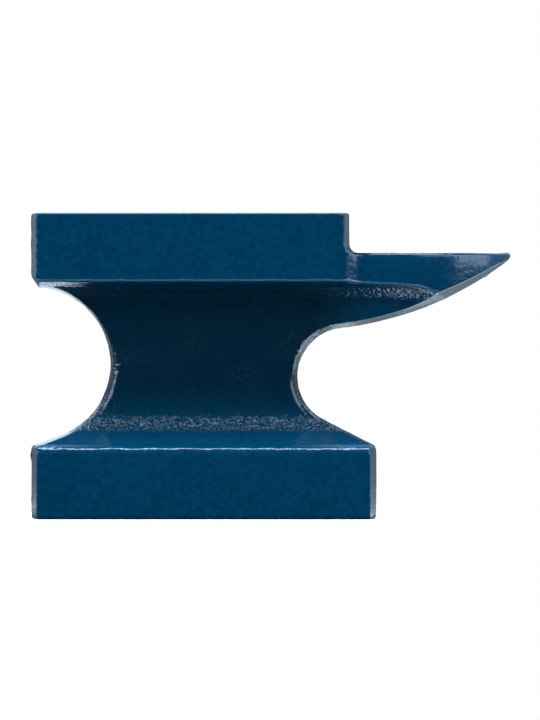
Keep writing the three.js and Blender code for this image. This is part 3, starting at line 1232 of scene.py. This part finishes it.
@dataclass(frozen=True)
class GroundSteel:
    """Hardened tool steel, surface ground along its length.

    The wheel leaves fine parallel lines that stretch the reflections across them, over a bare grey
    metal with a few dull handling marks.
    """

    colour: str = "#b9bab8"
    dull_colour: str = "#a2a3a2"
    roughness: Span = (0.24, 0.4)
    line: float = 0.35
    line_length: float = 45.0
    line_depth: float = 0.006
    stain: float = 14.0
    stain_ends: Span = (0.45, 0.75)

    def material(self) -> bpy.types.Material:
        """Builds the steel's nodes."""
        material, tree, place = new_material("ground_tool_steel")
        stretch = (self.line / self.line_length, 1.0, 1.0)
        drawn = add_node(tree, "ShaderNodeMapping", Vector=place, Scale=stretch).outputs["Vector"]
        lines = noise(tree, drawn, self.line, 3.0)
        marks = rescaled(tree, noise(tree, place, self.stain, 5.0), self.stain_ends)
        colour = mixed_colour(tree, marks, to_linear(self.colour), to_linear(self.dull_colour))
        depth = self.line_depth * MM
        bump = add_node(tree, "ShaderNodeBump", Height=lines, Strength=1.0, Distance=depth)
        shader = add_node(
            tree,
            "ShaderNodeBsdfPrincipled",
            Base_Color=colour,
            Metallic=1.0,
            Roughness=rescaled(tree, lines, (0.0, 1.0), self.roughness),
            Normal=bump.outputs["Normal"],
        )
        add_node(tree, "ShaderNodeOutputMaterial", Surface=shader.outputs["BSDF"])
        return material


@dataclass
class BodyCasting:
    """The iron casting of base, waist, table and horn under its enamel, up to the face plate."""

    shape: AnvilShape
    sections: LevelSections
    sand: SandSkin
    step: float = 1.15
    cap_rows: int = 6
    flat_rows: int = 16
    head_rows: int = 12
    lift: float = 4.0
    edge_paces: tuple[float, ...] = (1.6, 2.6, 3.4, 1.6)
    band_pace: float = 0.8
    band_height: float = 10.0
    band_fade: float = 3.0
    edge_reach: float = 1.3
    fastest: float = 25.0
    samples: int = 6001
    inner: float = 4.0

    def _even_heights(self) -> Array:
        """Heights from the foot to the horn's top at which the fastest guide moves one step.

        The guides are the height itself, the end view and the two edges of the side view, and the
        rounded edges get closer rows.
        """
        shape = self.shape
        fine = np.linspace(0, shape.horn_top, self.samples)
        zero = np.zeros_like(fine)
        beside = np.array(shape.half_table - self.inner)
        inset = np.full_like(fine, float(shape.mould.inset(beside)))
        guides = [
            fine,
            np.interp(fine, shape.end_heights, shape.end_widths),
            shape.heel_edge(fine, zero),
            shape.heel_edge(fine, inset),
            shape.horn_edge(fine, zero, zero > 1),
        ]
        pace = np.max([np.abs(np.gradient(g, fine)) for g in guides], axis=0)
        pace = np.minimum(pace, self.fastest)
        edges = (0.0, shape.base.side_height, shape.table_bottom + 0.6, shape.horn_top)
        for edge, extra in zip(edges, self.edge_paces):
            pace += extra * bell(fine - edge, self.edge_reach)
        below = shape.table_bottom - fine
        band = ease(below, -1.0, 1.0) * (1 - ease(below - self.band_height, 0.0, self.band_fade))
        pace += self.band_pace * band
        walked = np.concatenate([[0], np.cumsum((pace[1:] + pace[:-1]) / 2 * np.diff(fine))])
        count = int(walked[-1] / self.step)
        return np.interp(np.linspace(0, walked[-1], count + 1), walked, fine)

    def build(self) -> bpy.types.Object:
        """Builds the skin from the underside up, round the horn's flat top and up to the plate."""
        shape, sections = self.shape, self.sections
        z = self._even_heights()
        lower = sections.outlines(z, quarter_round(z, shape.base.foot_radius), z < 0)
        heads = np.linspace(shape.horn_top, shape.table.plate_bottom, self.head_rows + 1)
        upper = sections.outlines(heads, np.zeros_like(heads), heads > 0)
        knee = sections.columns.heel + sections.columns.side
        beside = 1 - ease(np.arange(lower.shape[1]), knee - 5.0, float(knee))
        levels = Levels()
        levels.add_cap(lower[0], 0.0, self.cap_rows, closing=False)
        levels.add(lower, z[:, None])
        t = np.linspace(0, 1, self.flat_rows + 1)[1:-1, None]
        across = lower[-1] * (1 - t[..., None]) + upper[0] * t[..., None]
        levels.add(across, shape.horn_top + self.lift * t * beside)
        start = shape.horn_top + self.lift * beside
        climb = (heads[:, None] - shape.horn_top) / (shape.table.plate_bottom - shape.horn_top)
        levels.add(upper, start + (shape.table.plate_bottom - start) * climb)
        levels.add_cap(upper[-1], shape.table.plate_bottom, self.cap_rows, closing=True)
        piece = mesh_object("painted_casting", *levels.skin())
        self.sand.apply(piece, shape, shape.table.plate_bottom)
        return piece

    def dress(self, piece: bpy.types.Object, enamel: bpy.types.Material) -> None:
        """Gives the casting its enamel and its place in the frame."""
        piece.data.materials.append(enamel)
        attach(piece, "root")
        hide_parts("body_casting")


@dataclass
class FacePlate:
    """The hardened face plate: painted round its edge and ground bare on top."""

    shape: AnvilShape
    sections: LevelSections
    sand: SandSkin
    side_rows: int = 9
    edge_rows: int = 4
    cap_rows: int = 8
    bare_depth: float = 0.12

    def build(self) -> bpy.types.Object:
        """Builds the plate's skin from its joint up to the ground top."""
        table = self.shape.table
        shoulder = table.top - table.chamfer
        side = np.linspace(table.plate_bottom, shoulder, self.side_rows + 1)
        angle = np.linspace(0, np.pi / 2, self.edge_rows + 1)[1:]
        z = np.concatenate([side, shoulder + table.chamfer * np.sin(angle)])
        inset = np.concatenate([np.zeros_like(side), table.chamfer * (1 - np.cos(angle))])
        rows = self.sections.outlines(z, inset, z > 0)
        levels = Levels()
        levels.add_cap(rows[0], table.plate_bottom, self.cap_rows, closing=False)
        levels.add(rows, z[:, None])
        levels.add_cap(rows[-1], table.top, self.cap_rows, closing=True)
        piece = mesh_object("face_plate_ground", *levels.skin())
        self.sand.apply(piece, self.shape, table.plate_bottom)
        return piece

    def dress(
        self, piece: bpy.types.Object, enamel: bpy.types.Material, steel: bpy.types.Material
    ) -> None:
        """Gives the plate enamel round its edge and ground steel on top, and its place."""
        mesh = piece.data
        mesh.materials.append(steel)
        mesh.materials.append(enamel)
        centres = np.zeros(len(mesh.polygons) * 3, np.float32)
        mesh.polygons.foreach_get("center", centres)
        low = centres.reshape(-1, 3)[:, 2] / MM < self.shape.table.top - self.bare_depth
        mesh.polygons.foreach_set("material_index", low.astype(np.int32))
        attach(piece, "root")
        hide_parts("face_plate")


@dataclass
class Softbox:
    """A soft studio lamp that points at the anvil."""

    name: str
    azimuth: float
    elevation: float
    distance: float
    width: float
    height: float
    power: float

    def build(self, target: Vector, tint: str) -> None:
        """Places the lamp round the target. Azimuth 0 is on the camera's side."""
        data = bpy.data.lights.new(self.name, "AREA")
        data.shape = "RECTANGLE"
        data.size, data.size_y, data.energy = self.width, self.height, self.power
        data.color = to_linear(tint)[:3]
        turn, lean = np.radians(self.azimuth), np.radians(self.elevation)
        away = Vector((np.sin(turn) * np.cos(lean), -np.cos(turn) * np.cos(lean), np.sin(lean)))
        lamp = bpy.data.objects.new(self.name, data)
        lamp.location = target + away * self.distance
        lamp.rotation_euler = away.to_track_quat("Z", "Y").to_euler()
        bpy.context.scene.collection.objects.link(lamp)


@dataclass(frozen=True)
class Backdrop:
    """What a reflection sees beyond the floor, by its direction, with 1 as straight along an axis.

    Each span is where a smooth step starts and where it is full.
    """

    dome: Span = (-0.1, 0.9)
    sky: float = 0.45
    sky_sides: Span = (0.25, 0.45)
    sky_behind: Span = (0.0, 0.3)
    sky_low: Span = (0.68, 0.5)
    sky_rise: Span = (0.2, 0.36)
    glow: float = 0.7
    glow_sides: Span = (0.55, 0.85)
    dim: float = 0.28
    dim_low: Span = (0.12, 0.05)
    dim_behind: Span = (0.86, 0.97)
    bright: float = 1.0
    bright_behind: Span = (0.93, 0.985)
    bright_right: Span = (0.05, -0.02)
    bright_left: Span = (-0.12, -0.08)
    window: float = 0.6
    window_rise: Span = (0.03, 0.06)

    def level(self, tree: Tree, axes: Outputs) -> Socket:
        """The brightness that a reflection sees in a direction.

        It is the largest of four: a pale sky over the sides and low behind the anvil, a glow level
        with it at both sides, a dim backdrop behind it, and the backdrop's bright middle, which
        lies a little to the left and has a brighter window just over the horizon.

        Args:
            tree: The node tree.
            axes: The direction's three parts.

        Returns:
            The brightness.
        """
        x, y, z = (axes[name] for name in "XYZ")
        beside = combined(tree, "ABSOLUTE", x)
        behind = smooth_step(tree, y, self.sky_behind)
        back = combined(tree, "MULTIPLY", behind, smooth_step(tree, z, self.sky_low))
        either = combined(tree, "MAXIMUM", smooth_step(tree, beside, self.sky_sides), back)
        risen = smooth_step(tree, z, self.sky_rise, self.sky)
        sky = combined(tree, "MULTIPLY", either, risen)
        glow = smooth_step(tree, beside, self.glow_sides, self.glow)
        dim = smooth_step(tree, z, self.dim_low, self.dim)
        dim = mixed_value(tree, smooth_step(tree, y, self.dim_behind), glow, dim)
        middle = smooth_step(tree, y, self.bright_behind, self.bright)
        for ends in (self.bright_right, self.bright_left):
            middle = combined(tree, "MULTIPLY", middle, smooth_step(tree, x, ends))
        window = smooth_step(tree, z, self.window_rise, self.window)
        middle = combined(tree, "MULTIPLY_ADD", middle, window, middle)
        return combined(tree, "MAXIMUM", combined(tree, "MAXIMUM", sky, dim), middle)


@dataclass(frozen=True)
class Floor:
    """The pale paper under the anvil, which looks different to a reflection. Lengths are metres.

    To a reflection it is dark in front. Behind, each band gives where along Y it starts and is
    full, and its level on the left and on the right. Past the heel the right level holds again.
    Under the heel the near bands are brighter, and beside the base's ends they lie in its shade.
    """

    size: float = 60.0
    colour: str = "#f4f4f4"
    lift: float = 0.45
    clear: Span = (0.25, 0.5)
    dull_colour: str = "#909090"
    bands: tuple[tuple[float, float, float, float], ...] = (
        (-0.04, -0.01, 1.6, 2.9),
        (0.2, 0.26, 0.1, 0.4),
        (0.45, 0.6, 2.2, 0.4),
        (1.5, 1.9, 0.1, 0.1),
        (2.5, 4.0, 0.3, 0.25),
    )
    right: Span = (0.0, 0.06)
    heel_slant: float = 0.05
    outer: Span = (-0.1, -0.12)
    heel_gain: float = 1.1
    heel: Span = (-0.061, -0.073)
    heel_near: Span = (0.45, 0.3)
    shaded: float = 0.2
    shade_heel: Span = (-0.07, -0.075)
    shade_inner: Span = (0.07, 0.074)
    shade_inner_slant: float = -0.05
    shade_outer: Span = (0.083, 0.079)
    shade_outer_slant: float = -0.2
    shade_near: Span = (0.26, 0.2)

    def _plain(self, tree: Tree, place: Socket) -> Socket:
        """The paper to the camera: white, and near the anvil pale with the anvil's shadow."""
        away = add_node(tree, "ShaderNodeVectorMath", {"operation": "LENGTH"}, Vector=place)
        far = smooth_step(tree, away.outputs["Value"], self.clear)
        paper = add_node(tree, "ShaderNodeBsdfDiffuse", Color=to_linear(self.colour)).outputs[0]
        lift = add_node(tree, "ShaderNodeEmission", Color=WHITE, Strength=self.lift).outputs[0]
        near = add_node(tree, "ShaderNodeAddShader", _0=paper, _1=lift).outputs[0]
        plain = add_node(tree, "ShaderNodeEmission", Color=WHITE, Strength=1.0).outputs[0]
        return mixed_shader(tree, far, near, plain)

    def _shade(self, tree: Tree, x: Socket, y: Socket, heel_side: Socket) -> Socket:
        """How far the paper lies in the base's shade: a patch at the heel, a wedge at the horn."""
        inner = combined(tree, "MULTIPLY_ADD", y, self.shade_inner_slant, x)
        outer = combined(tree, "MULTIPLY_ADD", y, self.shade_outer_slant, x)
        steps = (inner, self.shade_inner), (outer, self.shade_outer), (heel_side, self.shade_heel)
        start, end, patch = (smooth_step(tree, value, ends) for value, ends in steps)
        wedge = combined(tree, "MULTIPLY", start, end)
        near = smooth_step(tree, y, self.shade_near)
        return combined(tree, "MULTIPLY", combined(tree, "MAXIMUM", wedge, patch), near)

    def _mirrored(self, tree: Tree, place: Socket, tint: str) -> Socket:
        """The paper to a reflection."""
        axes = add_node(tree, "ShaderNodeSeparateXYZ", Vector=place).outputs
        x, y = axes["X"], axes["Y"]
        heel_side = combined(tree, "MULTIPLY_ADD", y, self.heel_slant, x)
        outer = smooth_step(tree, heel_side, self.outer)
        right = combined(tree, "MAXIMUM", smooth_step(tree, x, self.right), outer)
        level = 0.0
        for start, full, *levels in self.bands:
            target = mixed_value(tree, right, *levels)
            level = mixed_value(tree, smooth_step(tree, y, (start, full)), level, target)
        gain = smooth_step(tree, x, self.heel, self.heel_gain)
        gain = combined(tree, "MULTIPLY", gain, smooth_step(tree, y, self.heel_near))
        level = combined(tree, "MULTIPLY_ADD", level, gain, level)
        shaded = combined(tree, "MINIMUM", level, self.shaded)
        level = mixed_value(tree, self._shade(tree, x, y, heel_side), level, shaded)
        return add_node(
            tree, "ShaderNodeEmission", Color=to_linear(tint), Strength=level
        ).outputs[0]

    def build(self, tint: str) -> None:
        """Makes the floor, with the lamps' tint for what a reflection sees."""
        half = self.size / 2
        mesh = bpy.data.meshes.new("floor")
        corners = [(-half, -half, 0), (half, -half, 0), (half, half, 0), (-half, half, 0)]
        mesh.from_pydata(corners, [], [(0, 1, 2, 3)])
        floor = bpy.data.objects.new("floor", mesh)
        bpy.context.scene.collection.objects.link(floor)
        material, tree, place = new_material("pale_paper")
        path = add_node(tree, "ShaderNodeLightPath").outputs
        dull = add_node(tree, "ShaderNodeBsdfDiffuse", Color=to_linear(self.dull_colour))
        mirrored = self._mirrored(tree, place, tint)
        other = mixed_shader(tree, path["Is Glossy Ray"], dull.outputs[0], mirrored)
        mixed = mixed_shader(tree, seen_directly(tree), other, self._plain(tree, place))
        add_node(tree, "ShaderNodeOutputMaterial", Surface=mixed)
        mesh.materials.append(material)


@dataclass
class Studio:
    """The pale floor, the white surroundings, the lamps and the camera."""

    pixel: float = 0.44
    axis_x: float = 203.85
    foot_y: float = 518.8
    distance: float = 8.0
    sensor: float = 36.0
    clip_end: float = 200.0
    tint: str = "#cfe6f6"
    backdrop: Backdrop = Backdrop()
    floor: Floor = Floor()
    lamps: tuple[Softbox, ...] = (
        Softbox("overhead", 0.0, 90.0, 1.1, 0.95, 0.42, 18.5),
        Softbox("front_left", -38.0, 34.0, 1.6, 1.0, 0.9, 5.2),
        Softbox("front_right", 38.0, 34.0, 1.6, 1.0, 0.9, 5.2),
        Softbox("side_left", -68.0, 17.0, 1.5, 0.8, 0.8, 9.0),
        Softbox("side_right", 68.0, 22.0, 1.5, 0.9, 0.9, 8.0),
        Softbox("rear_left", -142.0, 36.0, 1.8, 0.9, 0.9, 5.0),
        Softbox("rear_right", 142.0, 36.0, 1.8, 0.9, 0.9, 5.0),
    )

    def camera(self) -> None:
        """Makes the camera of the photograph: level, square to the side, and far away.

        Its sensor's long side is the photograph's height, so the lens is the sensor times the
        distance over the height that it sees at the anvil's middle plane.
        """
        data = bpy.data.cameras.new("camera")
        seen = PHOTO_HEIGHT * self.pixel * MM
        data.sensor_width = self.sensor
        data.lens = self.sensor * self.distance / seen
        data.clip_end = self.clip_end
        camera = bpy.data.objects.new("camera", data)
        x = (PHOTO_WIDTH / 2 - self.axis_x) * self.pixel * MM
        z = (self.foot_y - PHOTO_HEIGHT / 2) * self.pixel * MM
        camera.location = (x, -self.distance, z)
        camera.rotation_euler = (np.pi / 2, 0.0, 0.0)
        bpy.context.scene.collection.objects.link(camera)
        bpy.context.scene.camera = camera

    def world(self) -> None:
        """Makes the surroundings: white to the camera, and a soft dim sky to everything else."""
        world = bpy.data.worlds.new("white_studio")
        bpy.context.scene.world = world
        world.use_nodes = True
        tree = world.node_tree
        tree.nodes.clear()
        direction = add_node(tree, "ShaderNodeTexCoord").outputs["Generated"]
        axes = add_node(tree, "ShaderNodeSeparateXYZ", Vector=direction).outputs
        path = add_node(tree, "ShaderNodeLightPath").outputs
        dome = smooth_step(tree, axes["Z"], self.backdrop.dome, self.backdrop.sky)
        mirrored = self.backdrop.level(tree, axes)
        lit = mixed_value(tree, path["Is Glossy Ray"], dome, mirrored)
        seen = seen_directly(tree)
        level = mixed_value(tree, seen, lit, 1.0)
        colour = mixed_colour(tree, seen, to_linear(self.tint), WHITE)
        background = add_node(tree, "ShaderNodeBackground", Color=colour, Strength=level)
        add_node(tree, "ShaderNodeOutputWorld", Surface=background.outputs["Background"])

    def build(self, target: Vector) -> None:
        """Builds the whole studio round the target."""
        self.camera()
        self.world()
        self.floor.build(self.tint)
        for lamp in self.lamps:
            lamp.build(target, self.tint)
        bpy.context.scene.view_settings.view_transform = "Standard"


def framed_shape() -> AnvilShape:
    """The anvil's form, with its reach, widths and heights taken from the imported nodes."""
    body_low, body_high = (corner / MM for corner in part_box("body_casting"))
    plate_low, plate_high = (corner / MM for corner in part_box("face_plate"))
    table = Table(
        heel=plate_low.x,
        end=plate_high.x,
        width=plate_high.y - plate_low.y,
        top=plate_high.z,
        plate_bottom=plate_low.z,
    )
    base = Base(width=body_high.y - body_low.y)
    return AnvilShape(base, Waist(), table, Horn(tip=body_high.x), Mould())


def main() -> None:
    """Builds the studio and the anvil's pieces."""
    logging.basicConfig(level=logging.INFO, format="%(name)s: %(message)s", force=True)
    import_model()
    shape = framed_shape()
    Studio().build(Vector((0.0, 0.0, shape.table.top / 2 * MM)))
    sections = LevelSections(shape, Columns())
    sand = SandSkin()
    enamel = Enamel().material()
    steel = GroundSteel().material()
    casting = BodyCasting(shape, sections, sand)
    body = casting.build()
    casting.dress(body, enamel)
    LOG.info("%s: %d faces", body.name, len(body.data.polygons))
    plate = FacePlate(shape, sections, sand)
    face = plate.build()
    plate.dress(face, enamel, steel)
    LOG.info("%s: %d faces", face.name, len(face.data.polygons))


if __name__ == "__main__":
    main()
